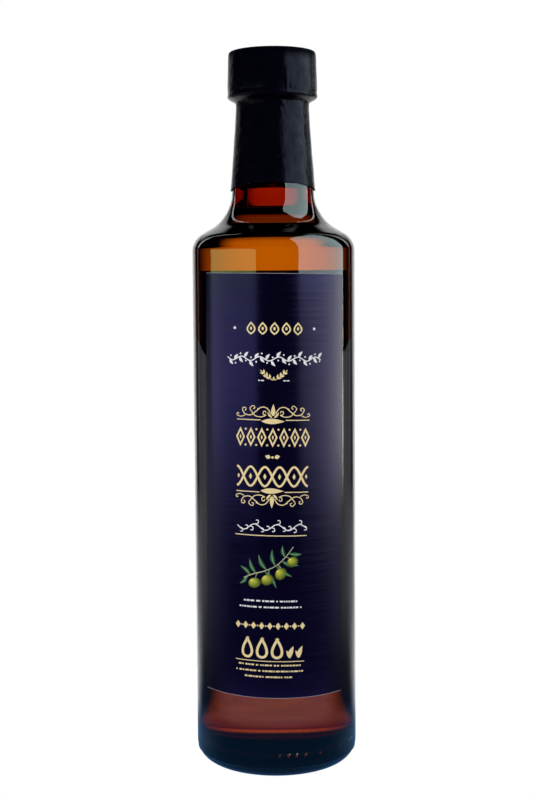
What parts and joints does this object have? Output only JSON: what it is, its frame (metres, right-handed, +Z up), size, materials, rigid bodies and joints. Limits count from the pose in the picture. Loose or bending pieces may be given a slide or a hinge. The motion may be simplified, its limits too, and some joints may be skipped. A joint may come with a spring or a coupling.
{
  "type": "olive oil bottle",
  "caption": "Tall round amber glass bottle of oil with a sloped shoulder, a tapered neck and cap under a black shrink sleeve, and dark blue labels front and back.",
  "frame": {"origin": "centre of the base, on the plane that the bottle stands on", "axes": "+Z up along the bottle's axis, the front label faces -Y, +X is to the right of a viewer of the front label"},
  "size_m": [0.062, 0.0624, 0.272],
  "materials": {
    "amber_glass": "clear dark amber container glass",
    "olive_oil": "clear golden green oil",
    "cap_plastic": "moulded black polypropylene",
    "sleeve_film": "satin black shrink film",
    "label_paper": "satin dark blue coated label paper with gold and white print"
  },
  "bodies": {
    "root": {"glass_bottle": "amber_glass", "oil": "olive_oil", "cap": "cap_plastic", "sleeve": "sleeve_film", "label_front": "label_paper", "label_back": "label_paper"}
  },
  "joints": []
}
